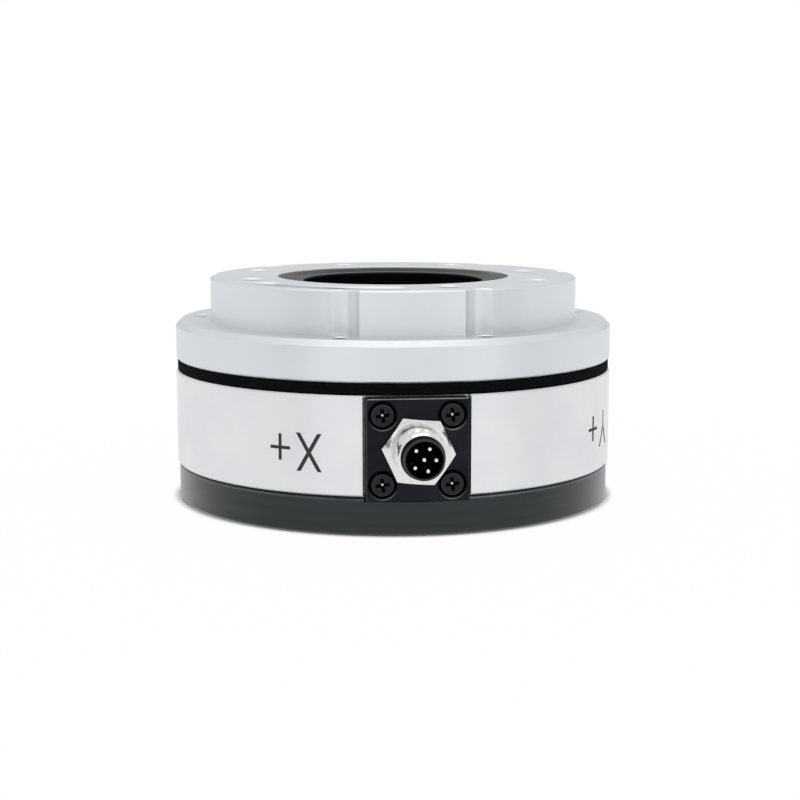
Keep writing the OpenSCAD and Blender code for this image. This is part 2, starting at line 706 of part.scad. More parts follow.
module connector_plate() {
    edge = plate_edge;
    half = plate_w / 2;
    tall = plate_h / 2;
    back = plate_back;
    color([0.14, 0.14, 0.15]) outwards() difference() {
        intersection() {
            translate([0, 0, back]) linear_extrude(plate_t) rounded_rect(plate_w, plate_h, plate_corner);
            rotate([90, 0, 0]) linear_extrude(plate_h, center = true)
                polygon([[-half, back], [half, back], [half, plate_front - edge],
                         [half - edge, plate_front], [edge - half, plate_front],
                         [-half, plate_front - edge]]);
            rotate([0, -90, 0]) linear_extrude(plate_w, center = true)
                polygon([[back, -tall], [plate_front - edge, -tall], [plate_front, edge - tall],
                         [plate_front, tall - edge], [plate_front - edge, tall], [back, tall]]);
        }
        hole(stub_d + 2 * slack, back - over, plate_front + over);
        at_plate_screws() {
            hole(plate_screw_d + 2 * fit, back - over, plate_front);
            hole(plate_bore_d, plate_seat_y, plate_front + over);
            mouth(plate_bore_d, plate_bore_edge, plate_front);
        }
    }
}

module plate_gasket() color([0.06, 0.06, 0.07]) outwards()
    translate([0, 0, pocket_y]) difference() {
        linear_extrude(plate_gasket_t)
            rounded_rect(plate_w - 4 * fit, plate_h - 4 * fit, plate_corner);
        hole(stub_d + 2 * fit, -over, over);
        at_plate_screws() hole(plate_screw_d + 2 * fit, -over, over);
    }

// Cross recess screws with flat, round-edged heads.
module plate_screws() {
    r = plate_head_d / 2;
    edge = plate_head_edge;
    stem = plate_screw_d / 2;
    color([0.10, 0.10, 0.11]) outwards() at_plate_screws()
        translate([0, 0, plate_seat_y]) difference() {
            rotate_extrude() {
                polygon([[0, -plate_screw_len], [stem, -plate_screw_len], [stem, 0], [r, 0],
                         [r, plate_head_h - edge], [r - edge, plate_head_h], [0, plate_head_h]]);
                translate([r - edge, plate_head_h - edge]) circle(edge);
            }
            for (turn = [0, 90]) rotate([0, 0, cross_turn + turn])
                translate([-cross_len / 2, -cross_w / 2, plate_head_h - cross_depth])
                    cube([cross_len, cross_w, plate_head_h]);
        }
}

module connector_shell() {
    flat_r = hex_af / 2;
    thread_r = thread_d / 2;
    neck = thread_pitch / 2;                 // undercut behind the thread
    color([0.85, 0.85, 0.83]) outwards() difference() {
        union() {
            intersection() {
                translate([0, 0, plate_front]) rotate([0, 0, -hex_turn])
                    cylinder(d = hex_af / cos(30), h = hex_t, $fn = 6);
                rotate_extrude() polygon([
                    [0, plate_front], [hex_af, plate_front],
                    [hex_af, hex_front - (flat_r + hex_edge) * tan(30)],
                    [flat_r - hex_edge, hex_front], [0, hex_front]]);
            }
            rotate_extrude() polygon([
                [0, stub_end], [stub_d / 2, stub_end], [stub_d / 2, plate_front + neck],
                [thread_r - neck, plate_front + neck], [thread_r - neck, hex_front + neck],
                [thread_r, hex_front + 2 * neck], [thread_r, barrel_front - thread_lead],
                [thread_r - thread_lead, barrel_front], [0, barrel_front]]);
        }
        hole(shell_bore_d, stub_end - over, nose_front);
        seal_groove();
    }
}

module seal_groove() translate([0, 0, plate_front - over])
    tube(2 * (seal_ring_r + seal_wire / 2 + slack), stub_d, over + seal_wire + slack);

module connector_seal() color([0.08, 0.08, 0.09]) outwards()
    translate([0, 0, plate_front + seal_wire / 2])
        rotate_extrude() translate([seal_ring_r, 0]) circle(d = seal_wire);

module connector_insert() {
    body_r = shell_bore_d / 2 - contact_slack;
    rear_r = body_r - 2 * fit;
    nose_r = thread_d / 2 - thread_lead;
    cavity_r = cavity_d / 2;
    floor_y = nose_front - cavity_depth;
    rear_y = contact_board_y + contact_board_t;
    color([0.16, 0.16, 0.17]) outwards() {
        difference() {
            rotate_extrude() polygon([
                [0, rear_y], [rear_r, rear_y], [rear_r, stub_end], [body_r, stub_end],
                [body_r, barrel_front], [nose_r, barrel_front],
                [nose_r - nose_taper, nose_front], [cavity_r, nose_front],
                [cavity_r, floor_y], [0, floor_y]]);
            at_contacts() hole(pin_d + 2 * contact_slack, rear_y - over, floor_y + over);
        }
        // the coding rib in the cavity
        intersection() {
            hole(cavity_d + fit, floor_y, nose_front - rib_w);
            rotate([0, 0, key_angle]) translate([cavity_r - rib_w / 2, -rib_w / 2, floor_y])
                cube([rib_w, rib_w, cavity_depth]);
        }
    }
}

module contact_pins() color([0.92, 0.90, 0.84]) outwards() at_contacts() {
    hole(pin_d, pin_tail_y, nose_front - pin_drop - pin_d / 2);
    translate([0, 0, nose_front - pin_drop - pin_d / 2]) sphere(d = pin_d);
}

// ---- nodes ----

base_plate();
base_gasket();
housing_ring();
locating_pins();
captive_screws();
flexure();
flexure_screws();
strain_gauges();
gauge_leads();
circuit_board();
signal_chips();
board_standoffs();
board_screws();
contact_board();
load_flange();
flange_screws();
stop_screws();
seal_band();
bore_sleeve();
sleeve_seal();
connector_plate();
plate_gasket();
plate_screws();
connector_shell();
connector_seal();
connector_insert();
contact_pins();
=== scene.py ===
import math

import bmesh
import bpy
from mathutils import Matrix, Vector, noise


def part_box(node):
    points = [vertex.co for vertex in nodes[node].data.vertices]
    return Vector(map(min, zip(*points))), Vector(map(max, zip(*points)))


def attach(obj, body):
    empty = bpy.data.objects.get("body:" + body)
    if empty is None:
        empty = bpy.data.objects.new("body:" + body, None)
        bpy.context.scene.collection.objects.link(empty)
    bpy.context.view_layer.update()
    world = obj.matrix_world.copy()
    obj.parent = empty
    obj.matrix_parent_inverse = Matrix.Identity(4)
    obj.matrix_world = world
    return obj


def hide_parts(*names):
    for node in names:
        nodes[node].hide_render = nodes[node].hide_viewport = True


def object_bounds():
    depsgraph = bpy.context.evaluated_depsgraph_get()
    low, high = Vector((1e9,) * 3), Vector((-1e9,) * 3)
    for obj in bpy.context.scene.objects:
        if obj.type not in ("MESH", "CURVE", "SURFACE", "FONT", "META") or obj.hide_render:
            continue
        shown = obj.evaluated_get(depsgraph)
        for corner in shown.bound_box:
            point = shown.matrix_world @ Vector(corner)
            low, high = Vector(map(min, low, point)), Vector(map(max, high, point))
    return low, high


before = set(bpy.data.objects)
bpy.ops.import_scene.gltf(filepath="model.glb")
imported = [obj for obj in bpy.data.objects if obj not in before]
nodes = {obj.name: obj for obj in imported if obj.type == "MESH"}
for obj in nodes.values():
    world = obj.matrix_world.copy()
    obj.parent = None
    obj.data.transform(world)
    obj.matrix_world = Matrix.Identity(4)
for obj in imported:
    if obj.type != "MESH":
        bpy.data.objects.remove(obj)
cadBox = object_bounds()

mm = 0.001
weld = 0.0005 * mm    # vertices closer than this become one
slack = 0.01          # in mm, more than rounding ever adds to a measure
scene = bpy.context.scene
print("stage 1: frame loaded,", len(nodes), "nodes")


def toLinear(hexCode):
    # an sRGB hex value as the linear colour that the shaders take
    channels = [int(hexCode[i:i + 2], 16) / 255 for i in (1, 3, 5)]
    return [c / 12.92 if c <= 0.04045 else ((c + 0.055) / 1.055) ** 2.4 for c in channels] + [1]


def setInputs(tree, node, inputs):
    # an input takes a value, or a link from another node or from one of its outputs
    for name, value in inputs.items():
        if isinstance(value, bpy.types.Node):
            value = next(output for output in value.outputs if output.enabled)
        if isinstance(value, bpy.types.NodeSocket):
            tree.links.new(value, node.inputs[name])
        else:
            node.inputs[name].default_value = value


def addNode(tree, kind, inputs, **settings):
    node = tree.nodes.new("ShaderNode" + kind)
    for name, value in settings.items():
        setattr(node, name, value)
    setInputs(tree, node, inputs)
    return node


def startMaterial(name):
    material = bpy.data.materials.new(name)
    material.use_nodes = True
    where = addNode(material.node_tree, "TexCoord", {}).outputs["Object"]
    return material, material.node_tree, where


usualRange = (0.3, 0.7)    # where most of a noise lies


def dress(tree, v, tone, sheen, relief):
    # what all finishes share: tone moves the colour, sheen the roughness, and relief the bump
    toneLow, toneHigh = v.get("toneRange", usualRange)
    sheenLow, sheenHigh = v.get("sheenRange", usualRange)
    share = addNode(tree, "MapRange", {"Value": tone, "From Min": toneLow, "From Max": toneHigh})
    colour = addNode(tree, "Mix", {"Factor": share, "A": toLinear(v["dark"]), "B": toLinear(v["light"])},
                     data_type="RGBA")
    rough = addNode(tree, "MapRange", {"Value": sheen, "From Min": sheenLow, "From Max": sheenHigh,
                                       "To Min": v["rough"][0], "To Max": v["rough"][1]})
    bump = addNode(tree, "Bump", {"Height": relief, "Distance": v["depth"] * mm, "Strength": 1.0})
    shader = tree.nodes["Principled BSDF"]
    setInputs(tree, shader, {"Metallic": v["metallic"], "Base Color": colour, "Roughness": rough,
                             "Normal": bump})
    return shader, colour


def between(tree, value, start, full, fade, end):
    # 1 where the value lies from full to fade, 0 before start and after end
    rising = addNode(tree, "MapRange", {"Value": value, "From Min": start, "From Max": full})
    falling = addNode(tree, "MapRange", {"Value": value, "From Min": fade, "From Max": end,
                                         "To Min": 1, "To Max": 0})
    return addNode(tree, "Math", {0: rising, 1: falling}, operation="MULTIPLY")


def leaning(tree, low, high, soft=0.1):
    # 1 on faces that lean between front and side, such as the chamfers round a front face
    normal = addNode(tree, "NewGeometry", {}).outputs["Normal"]
    front = addNode(tree, "SeparateXYZ", {"Vector": normal}).outputs["Y"]
    front = addNode(tree, "Math", {0: front}, operation="ABSOLUTE")
    return between(tree, front, low, low + soft, high - soft, high)


# sizes and depths of patterns are in millimetres; real dents, turning rings and scale are finer
# than these, which are drawn coarser to show
blastedAluminium = {"metallic": 1.0, "dark": "#DFE1E4", "light": "#E5E7E9", "cool": "#D9DDE1",
                    "coolShare": 0.6, "beads": 0.35, "clouds": 9, "rough": (0.40, 0.48), "depth": 0.003}


def makeBlastedAluminium():
    # clear anodised aluminium, bead blasted first: an even, soft grey white without tool marks
    v = blastedAluminium
    material, tree, where = startMaterial("aluminiumBlastedClearAnodised")
    beads = addNode(tree, "TexNoise", {"Vector": where, "Scale": 1 / (v["beads"] * mm), "Detail": 3})
    clouds = addNode(tree, "TexNoise", {"Vector": where, "Scale": 1 / (v["clouds"] * mm), "Detail": 2})
    shader, colour = dress(tree, v, clouds, beads, beads)

    # the flange above the foam band came out of its bath a little cooler
    low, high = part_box("seal_band")
    height = addNode(tree, "SeparateXYZ", {"Vector": where}).outputs["Z"]
    upper = addNode(tree, "MapRange", {"Value": height, "From Min": low.z, "From Max": high.z,
                                       "To Max": v["coolShare"]})
    colour = addNode(tree, "Mix", {"Factor": upper, "A": colour, "B": toLinear(v["cool"])}, data_type="RGBA")
    setInputs(tree, shader, {"Base Color": colour})
    return material


# the painted highlight line's start, full, fade and end are measured down from the rim
darkAnodised = {"metallic": 1.0, "dark": "#1E2426", "light": "#272D30", "paintedHighlight": "#6C7275",
                "highlightLine": (0.45, 0.35, 0.2, 0.12), "highlightLineLeast": 0.1, "beads": 0.3, "rings": 1.2,
                "around": (0.02, 0.02, 1), "clouds": 14, "rough": (0.32, 0.42), "depth": 0.002,
                "film": 0.6, "filmRoughness": 0.3}


def makeDarkAnodised():
    # dark grey anodised aluminium, turned and blasted: deep under its clear oxide film, and bright
    # where it is seen at a low angle
    v = darkAnodised
    material, tree, where = startMaterial("aluminiumDarkAnodised")
    beads = addNode(tree, "TexNoise", {"Vector": where, "Scale": 1 / (v["beads"] * mm), "Detail": 3})
    around = addNode(tree, "Mapping", {"Vector": where, "Scale": v["around"]})
    rings = addNode(tree, "TexNoise", {"Vector": around, "Scale": 1 / (v["rings"] * mm), "Detail": 1})
    clouds = addNode(tree, "TexNoise", {"Vector": where, "Scale": 1 / (v["clouds"] * mm), "Detail": 2})
    shader, colour = dress(tree, v, rings, beads, beads)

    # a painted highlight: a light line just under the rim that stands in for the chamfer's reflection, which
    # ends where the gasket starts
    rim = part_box("base_gasket")[0].z
    height = addNode(tree, "SeparateXYZ", {"Vector": where}).outputs["Z"]
    highlightLine = between(tree, height, *(rim - down * mm for down in v["highlightLine"]))
    patchy = addNode(tree, "MapRange", {"Value": clouds, "From Min": usualRange[0], "From Max": usualRange[1],
                                        "To Min": v["highlightLineLeast"]})
    highlightLine = addNode(tree, "Math", {0: highlightLine, 1: patchy}, operation="MULTIPLY")
    colour = addNode(tree, "Mix", {"Factor": highlightLine, "A": colour, "B": toLinear(v["paintedHighlight"])}, data_type="RGBA")
    setInputs(tree, shader, {"Base Color": colour, "Coat Weight": v["film"],
                             "Coat Roughness": v["filmRoughness"]})
    return material


# the painted highlight fades out from edgeNear to edgeFar inside the plate's edges, and painted
# shade turns the pockets dark from pocketFrom to pocketTo behind its face; lean and ledge are ranges
# of how far a face turns to the front and upwards
blackPlate = {"metallic": 1.0, "dark": "#1D1F23", "light": "#26282D", "paintedHighlight": "#8A8A8D", "paintedShade": "#08080A",
              "edgeFar": 0.22, "edgeNear": 0.14, "leftShare": 0.25, "lean": (0.35, 0.95),
              "ledge": (0.2, 0.6), "ledgeShare": 0.6, "highlightLeast": 0.6, "pocketFrom": 0.35,
              "pocketTo": 0.6, "beads": 0.25, "clouds": 4, "rough": (0.38, 0.48), "depth": 0.003}


def makeBlackPlate():
    # black anodised plate, milled and blasted: flat black, with painted shade in its pockets and a painted
    # highlight on its upper edge
    v = blackPlate
    material, tree, where = startMaterial("aluminiumBlackAnodised")
    beads = addNode(tree, "TexNoise", {"Vector": where, "Scale": 1 / (v["beads"] * mm), "Detail": 3})
    clouds = addNode(tree, "TexNoise", {"Vector": where, "Scale": 1 / (v["clouds"] * mm), "Detail": 2})
    shader, colour = dress(tree, v, clouds, beads, beads)

    # a painted highlight on chamfers at the top, less at the left, and on the ledges of the pockets
    low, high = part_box("connector_plate")
    place = addNode(tree, "SeparateXYZ", {"Vector": where})
    upper = addNode(tree, "MapRange", {"Value": place.outputs["Z"], "From Min": high.z - v["edgeFar"] * mm,
                                       "From Max": high.z - v["edgeNear"] * mm})
    left = addNode(tree, "MapRange", {"Value": place.outputs["X"], "From Min": low.x + v["edgeNear"] * mm,
                                      "From Max": low.x + v["edgeFar"] * mm, "To Min": v["leftShare"],
                                      "To Max": 0})
    normal = addNode(tree, "NewGeometry", {}).outputs["Normal"]
    up = addNode(tree, "SeparateXYZ", {"Vector": normal}).outputs["Z"]
    ledge = addNode(tree, "MapRange", {"Value": up, "From Min": v["ledge"][0], "From Max": v["ledge"][1],
                                       "To Max": v["ledgeShare"]})
    edge = addNode(tree, "Math", {0: upper, 1: left}, operation="MAXIMUM")
    edge = addNode(tree, "Math", {0: edge, 1: ledge}, operation="MAXIMUM")
    patchy = addNode(tree, "MapRange", {"Value": clouds, "From Min": usualRange[0], "From Max": usualRange[1],
                                        "To Min": v["highlightLeast"]})
    paintedHighlight = addNode(tree, "Math", {0: leaning(tree, *v["lean"]), 1: edge}, operation="MULTIPLY")
    paintedHighlight = addNode(tree, "Math", {0: paintedHighlight, 1: patchy}, operation="MULTIPLY")

    # painted shade: the colour turns near black in the pockets behind the plate's face
    paintedShade = addNode(tree, "MapRange", {"Value": place.outputs["Y"], "From Min": low.y + v["pocketFrom"] * mm,
                                      "From Max": low.y + v["pocketTo"] * mm})
    for factor, tint in ((paintedShade, v["paintedShade"]), (paintedHighlight, v["paintedHighlight"])):
        colour = addNode(tree, "Mix", {"Factor": factor, "A": colour, "B": toLinear(tint)}, data_type="RGBA")
    setInputs(tree, shader, {"Base Color": colour})
    return material


foamRubber = {"metallic": 0.0, "dark": "#030405", "light": "#0D0F11", "cell": 0.3, "lumps": 0.9,
              "toneRange": (0.1, 0.7), "rough": (0.85, 0.98), "depth": 0.05, "specular": 0.05}


def makeFoamRubber():
    # closed cell foam rubber, cut from sheet: matt, with open pores all over the cut
    v = foamRubber
    material, tree, where = startMaterial("rubberClosedCellFoam")
    cells = addNode(tree, "TexVoronoi", {"Vector": where, "Scale": 1 / (v["cell"] * mm)}, feature="F1")
    lumps = addNode(tree, "TexNoise", {"Vector": where, "Scale": 1 / (v["lumps"] * mm), "Detail": 3})
    shader = dress(tree, v, cells, lumps, cells)[0]
    setInputs(tree, shader, {"Specular IOR Level": v["specular"]})
    return material


# the gloss comes in over the last glossRun below the collar's top
turnedPlastic = {"metallic": 0.0, "dark": "#050608", "light": "#0B0C10", "rings": 0.18,
                 "around": (0.02, 0.02, 1), "clouds": 3, "rough": (0.30, 0.42), "depth": 0.002,
                 "specular": (0.02, 0.22), "glossRun": (0.5, 0.1)}


def makeTurnedPlastic():
    # black acetal, turned: fine rings, glossy on the collar, and a matt bore that swallows the light
    v = turnedPlastic
    material, tree, where = startMaterial("acetalBlackTurned")
    around = addNode(tree, "Mapping", {"Vector": where, "Scale": v["around"]})
    rings = addNode(tree, "TexNoise", {"Vector": around, "Scale": 1 / (v["rings"] * mm), "Detail": 1})
    clouds = addNode(tree, "TexNoise", {"Vector": where, "Scale": 1 / (v["clouds"] * mm), "Detail": 2})
    shader = dress(tree, v, clouds, rings, rings)[0]

    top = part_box("bore_sleeve")[1].z
    height = addNode(tree, "SeparateXYZ", {"Vector": where}).outputs["Z"]
    gloss = addNode(tree, "MapRange", {
        "Value": height, "From Min": top - v["glossRun"][0] * mm, "From Max": top - v["glossRun"][1] * mm,
        "To Min": v["specular"][0], "To Max": v["specular"][1]})
    setInputs(tree, shader, {"Specular IOR Level": gloss})
    return material


# painted shade turns it black from deepFrom to deepTo behind its rim, and its gloss fades out with it
mouldedPlastic = {"metallic": 0.0, "dark": "#17171A", "light": "#222225", "paintedShade": "#010101", "flow": 0.12,
                  "rough": (0.38, 0.52), "depth": 0.003, "specular": (0.5, 0.02), "deepFrom": 0.25,
                  "deepTo": 0.7}


def makeMouldedPlastic():
    # glass filled black polyamide, moulded: dark grey on its rim, and painted shade turns it black down
    # inside
    v = mouldedPlastic
    material, tree, where = startMaterial("polyamideBlackMoulded")
    flow = addNode(tree, "TexNoise", {"Vector": where, "Scale": 1 / (v["flow"] * mm), "Detail": 3})
    shader, colour = dress(tree, v, flow, flow, flow)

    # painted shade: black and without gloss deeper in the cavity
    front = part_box("connector_insert")[0].y
    depth = addNode(tree, "SeparateXYZ", {"Vector": where}).outputs["Y"]
    paintedShade = addNode(tree, "MapRange", {"Value": depth, "From Min": front + v["deepFrom"] * mm,
                                      "From Max": front + v["deepTo"] * mm})
    gloss = addNode(tree, "MapRange", {"Value": paintedShade, "To Min": v["specular"][0], "To Max": v["specular"][1]})
    colour = addNode(tree, "Mix", {"Factor": paintedShade, "A": colour, "B": toLinear(v["paintedShade"])}, data_type="RGBA")
    setInputs(tree, shader, {"Base Color": colour, "Specular IOR Level": gloss})
    return material


# the painted glint in the middle of each head fades from glintFrom to glintTo, painted shade turns
# the recesses black from deepFrom to deepTo behind the heads, and rim is the painted highlight on their rims
oxideWithPaintedLight = {"metallic": 1.0, "dark": "#252527", "light": "#353537", "rim": "#505053", "paintedShade": "#020202",
             "glint": "#F2F2F2", "headRadius": 1.8, "lean": (0.3, 0.97), "glintFrom": 0.06,
             "glintTo": 0.24, "deepFrom": 0.08, "deepTo": 0.3, "scale": 0.15, "rough": (0.28, 0.5),
             "depth": 0.002}


def makeOxideWithPaintedLight():
    # the cross screws: painted highlights on the rims, painted shade in the black recesses, and a painted
    # glint in the middle of each
    v = oxideWithPaintedLight
    material, tree, where = startMaterial("steelBlackOxidePaintedLight")
    scale = addNode(tree, "TexNoise", {"Vector": where, "Scale": 1 / (v["scale"] * mm), "Detail": 3})
    shader, colour = dress(tree, v, scale, scale, scale)

    # the distance from the nearest screw's axis, folded from the middle of all four
    low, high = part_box("plate_screws")
    reach = (high.x - low.x) / 2 - v["headRadius"] * mm
    away = where
    for operation, other in (("SUBTRACT", (low + high) / 2), ("ABSOLUTE", None),
                             ("SUBTRACT", (reach, 0, reach)), ("MULTIPLY", (1, 0, 1)), ("LENGTH", None)):
        inputs = {0: away} if other is None else {0: away, 1: other}
        away = addNode(tree, "VectorMath", inputs, operation=operation)
    glint = addNode(tree, "MapRange", {"Value": away, "From Min": v["glintFrom"] * mm,
                                       "From Max": v["glintTo"] * mm, "To Min": 1, "To Max": 0})
    depth = addNode(tree, "SeparateXYZ", {"Vector": where}).outputs["Y"]
    paintedShade = addNode(tree, "MapRange", {"Value": depth, "From Min": low.y + v["deepFrom"] * mm,
                                      "From Max": low.y + v["deepTo"] * mm})
    glint = addNode(tree, "Math", {0: glint, 1: paintedShade}, operation="MULTIPLY")
    # painted highlight on the rims, painted shade in the recesses, and a painted glint in their middle
    rimHighlights = leaning(tree, *v["lean"])
    for factor, tint in ((rimHighlights, v["rim"]), (paintedShade, v["paintedShade"]), (glint, v["glint"])):
        colour = addNode(tree, "Mix", {"Factor": factor, "A": colour, "B": toLinear(tint)}, data_type="RGBA")
    setInputs(tree, shader, {"Base Color": colour})
    return material


nickel = {"metallic": 1.0, "dark": "#DADAD9", "light": "#E8E8E7", "rings": 0.08, "along": (1, 0.02, 1),
          "marks": 0.8, "rough": (0.10, 0.24), "depth": 0.001}


def makeNickel():
    # bright nickel on turned brass: mirror-like with fine turning rings and faint handling marks
    v = nickel
    material, tree, where = startMaterial("nickelPlatedBrass")
    along = addNode(tree, "Mapping", {"Vector": where, "Scale": v["along"]})
    rings = addNode(tree, "TexNoise", {"Vector": along, "Scale": 1 / (v["rings"] * mm), "Detail": 1})
    marks = addNode(tree, "TexNoise", {"Vector": where, "Scale": 1 / (v["marks"] * mm), "Detail": 4})
    dress(tree, v, marks, marks, rings)
    return material


solderMask = {"metallic": 0.0, "dark": "#0B4A2C", "light": "#126038", "weave": 0.8, "distortion": 0.6,
              "toneRange": (0, 1), "sheenRange": (0, 1), "rough": (0.3, 0.4), "depth": 0.004}


def makeSolderMask():
    # glass laminate under green solder mask: the weave shows through the varnish
    v = solderMask
    material, tree, where = startMaterial("laminateSolderMask")
    weave = addNode(tree, "TexWave", {"Vector": where, "Scale": 1 / (v["weave"] * mm),
                                      "Distortion": v["distortion"]}, wave_type="BANDS", bands_direction="X")
    weave = weave.outputs["Fac"]
    dress(tree, v, weave, weave, weave)
    return material


# finishes with one fine pattern: size is that of its lumps, drawn coarser than the real ones where
# those are under 0.1 mm, and a stretch under 1 makes them longer that way
plainFinishes = {
    # black nitrile rubber, moulded: matt with a slight oily sheen
    "rubberNitrileMoulded": {"metallic": 0.0, "dark": "#0D0D0F", "light": "#17171A", "rough": (0.55, 0.7),
                             "size": 0.2, "detail": 3, "stretch": (1, 1, 1), "depth": 0.004},
    # steel screws, blackened: dark grey, with an even fine scale
    "steelBlackOxide": {"metallic": 1.0, "dark": "#29292B", "light": "#3C3C3E", "rough": (0.28, 0.5),
                        "size": 0.15, "detail": 3, "stretch": (1, 1, 1), "depth": 0.002},
    # zinc plated steel: blue grey, slightly cloudy
    "steelZincPlated": {"metallic": 1.0, "dark": "#A9ACB0", "light": "#C2C5C8", "rough": (0.26, 0.42),
                        "size": 0.8, "detail": 3, "stretch": (1, 1, 1), "depth": 0.002},
    # milled aluminium, left bare: bright, with the cutter's fine lines
    "aluminiumMilled": {"metallic": 1.0, "dark": "#C6C8CA", "light": "#D9DBDC", "rough": (0.24, 0.38),
                        "size": 0.2, "detail": 2, "stretch": (1, 0.08, 1), "depth": 0.002},
    # thin gold on the contacts: pale, with a very fine grain
    "goldPlatedContact": {"metallic": 1.0, "dark": "#F0EADB", "light": "#FAF7F0", "rough": (0.16, 0.3),
                          "size": 0.1, "detail": 2, "stretch": (1, 1, 1), "depth": 0.001},
    # moulded epoxy chip body: dull black with a fine sparkle of filler
    "epoxyMoulded": {"metallic": 0.0, "dark": "#151517", "light": "#222225", "rough": (0.5, 0.7),
                     "size": 0.1, "detail": 3, "stretch": (1, 1, 1), "depth": 0.003},
    # polyimide film with etched copper under it: amber, glossy
    "polyimideFilm": {"metallic": 0.0, "dark": "#B5701E", "light": "#D09238", "rough": (0.22, 0.36),
                      "size": 0.3, "detail": 2, "stretch": (1, 1, 1), "depth": 0.002},
    # turned brass spacers: warm yellow with fine rings
    "brassTurned": {"metallic": 1.0, "dark": "#B8975A", "light": "#CDB070", "rough": (0.22, 0.36),
                    "size": 0.1, "detail": 1, "stretch": (0.05, 0.05, 1), "depth": 0.002},
    # laser mark in clear anodising: matt dark grey, slightly uneven where the lines overlap
    "laserMarkedOxide": {"metallic": 0.0, "dark": "#1D1F21", "light": "#2E3033", "rough": (0.6, 0.8),
                         "size": 0.12, "detail": 2, "stretch": (1, 1, 0.2), "depth": 0.002},
}


def makePlainFinish(name):
    v = plainFinishes[name]
    material, tree, where = startMaterial(name)
    placed = addNode(tree, "Mapping", {"Vector": where, "Scale": v["stretch"]})
    lumps = addNode(tree, "TexNoise", {"Vector": placed, "Scale": 1 / (v["size"] * mm),
                                       "Detail": v["detail"]})
    dress(tree, v, lumps, lumps, lumps)
    return material


foamSkin = makeFoamRubber()
plasticSkin = makeTurnedPlastic()
finishes = [
    (makeBlastedAluminium(), ["housing_ring", "load_flange"]),
    (makeDarkAnodised(), ["base_plate"]),
    (makeBlackPlate(), ["connector_plate"]),
    (foamSkin, ["seal_band", "sleeve_seal"]),
    (plasticSkin, ["bore_sleeve"]),
    (makeMouldedPlastic(), ["connector_insert"]),
    (makePlainFinish("rubberNitrileMoulded"), ["base_gasket", "plate_gasket", "connector_seal"]),
    (makePlainFinish("steelBlackOxide"), ["stop_screws", "flange_screws", "flexure_screws"]),
    (makeOxideWithPaintedLight(), ["plate_screws"]),
    (makePlainFinish("steelZincPlated"), ["captive_screws", "locating_pins", "board_screws"]),
    (makePlainFinish("aluminiumMilled"), ["flexure"]),
    (makePlainFinish("goldPlatedContact"), ["contact_pins"]),
    (makeSolderMask(), ["circuit_board", "contact_board"]),
    (makePlainFinish("epoxyMoulded"), ["signal_chips"]),
    (makePlainFinish("polyimideFilm"), ["strain_gauges", "gauge_leads"]),
    (makePlainFinish("brassTurned"), ["board_standoffs"]),
]
for skin, names in finishes:
    for name in names:
        slots = nodes[name].data.materials
        if slots:
            for i in range(len(slots)):
                slots[i] = skin
        else:
            slots.append(skin)
print("stage 2: materials on the solids")


def finishPiece(mesh, name, material, smoothAngle=None):
    # turns a bmesh into an object that rides on the part, smooth but for edges over the angle
    bmesh.ops.remove_doubles(mesh, verts=mesh.verts, dist=weld)
    bmesh.ops.recalc_face_normals(mesh, faces=mesh.faces)
    if smoothAngle:
        for face in mesh.faces:
            face.smooth = True
        for edge in mesh.edges:
            edge.smooth = len(edge.link_faces) == 2 and edge.calc_face_angle() < math.radians(smoothAngle)
    data = bpy.data.meshes.new(name)
    mesh.to_mesh(data)
    mesh.free()
    data.materials.append(material)
    piece = bpy.data.objects.new(name, data)
    scene.collection.objects.link(piece)
    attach(piece, "root")
    return piece


def spinSection(mesh, corners, centre, axis, segments):
    # a closed section goes all the way round its axis
    ring = [mesh.verts.new(corner) for corner in corners]
    edges = [mesh.edges.new((ring[i], ring[(i + 1) % len(ring)])) for i in range(len(ring))]
    bmesh.ops.spin(mesh, geom=ring + edges, cent=centre, axis=axis, angle=2 * math.pi, steps=segments,
                   use_merge=True)


# the shell's hexagon and stub come from the solid, and its barrel is cut again with a thread:
# hexBack is from the barrel's tip to the hexagon, and the groove's flat crests and its flanks are
# shares of half a turn
threadSizes = {"hexBack": 4.9, "neck": 0.5, "neckRun": 0.15, "crest": 4.0, "bore": 3.2, "pitch": 1.0,
               "depth": 0.56, "flat": 0.1, "flank": 0.8, "lead": 0.55, "segments": 96, "rows": 16,
               "smooth": 25}


